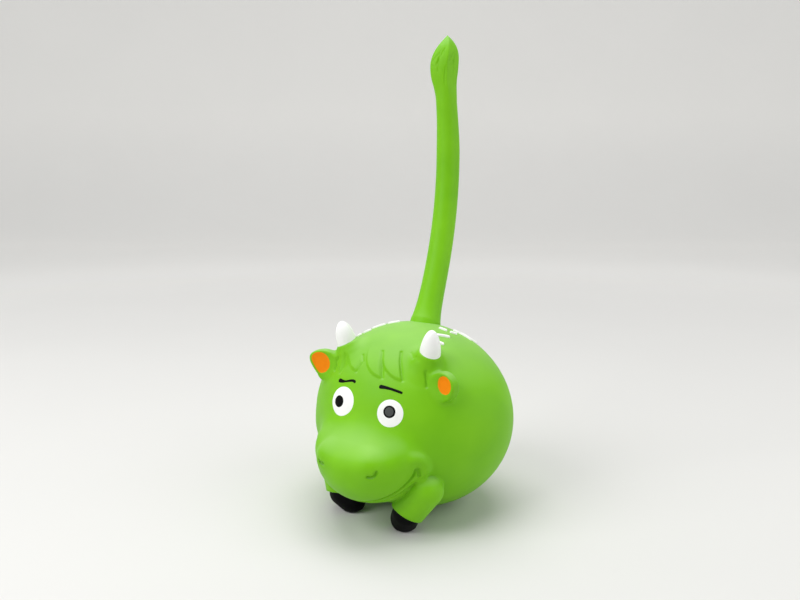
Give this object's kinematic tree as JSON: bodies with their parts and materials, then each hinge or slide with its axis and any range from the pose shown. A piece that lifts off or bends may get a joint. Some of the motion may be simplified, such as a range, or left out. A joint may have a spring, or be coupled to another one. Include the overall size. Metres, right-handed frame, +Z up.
{
  "type": "squeaky dog toy",
  "caption": "Round latex dog toy in the form of a bull calf, stuffed with fibre, with a reed squeaker pushed into its flat base and a long upright tail that bends.",
  "frame": {"origin": "on the floor, under the middle of the toy's width and of its depth from muzzle to back", "axes": "+Z up along the tail; the toy faces -Y, and its left side is +X"},
  "size_m": [0.107, 0.1112, 0.2426],
  "materials": {
    "green_latex": "satin",
    "white_paint": "satin",
    "black_paint": "satin",
    "orange_paint": "satin",
    "fibre": "matte",
    "white_plastic": "gloss",
    "reed_brass": "polished"
  },
  "bodies": {
    "toy_body": {"body_skin": "green_latex", "fibre_filling": "fibre", "muzzle": "green_latex", "muzzle_filling": "fibre", "fringe": "green_latex", "eye_white_left": "white_paint", "eye_white_right": "white_paint", "pupil_left": "black_paint", "pupil_right": "black_paint", "brow_left": "black_paint", "brow_right": "black_paint", "horn_left": "white_paint", "horn_right": "white_paint", "ear_left": "green_latex", "ear_right": "green_latex", "ear_hollow_left": "orange_paint", "ear_hollow_right": "orange_paint", "front_leg_left": "green_latex", "front_leg_right": "green_latex", "hoof_left": "black_paint", "hoof_right": "black_paint", "squeaker_cup": "white_plastic", "squeaker_cap": "white_plastic", "reed_carrier": "white_plastic", "reed_clamp": "white_plastic"},
    "crown": {"tail_root": "green_latex"},
    "lower_tail": {"tail_lower": "green_latex", "tail_lower_filling": "fibre"},
    "upper_tail": {"tail_upper": "green_latex", "tail_upper_filling": "fibre", "tail_tuft": "green_latex"},
    "reed": {"squeaker_reed": "reed_brass"}
  },
  "joints": [
    {"name": "crown_squeeze", "type": "slide", "parent": "toy_body", "child": "crown", "axis": [0, 0, -1], "range_m": [0, 0.015], "stiffness_N_per_m": 600, "deforming": ["body_skin", "fibre_filling"]},
    {"name": "tail_nod", "type": "hinge", "parent": "crown", "child": "lower_tail", "pos_m": [0, 0.02867, 0.10954], "axis": [1, 0, 0], "range_deg": [-45, 45], "stiffness_Nm_per_rad": 0.2},
    {"name": "tail_sway", "type": "hinge", "parent": "lower_tail", "child": "upper_tail", "pos_m": [0, 0.04303, 0.15854], "axis": [0, 0.9905, -0.1373], "range_deg": [-45, 45], "stiffness_Nm_per_rad": 0.1},
    {"name": "reed_flutter", "type": "hinge", "parent": "toy_body", "child": "reed", "pos_m": [0, 0.00625, 0.00605], "axis": [1, 0, 0], "range_deg": [0, 8], "stiffness_Nm_per_rad": 0.0001}
  ]
}
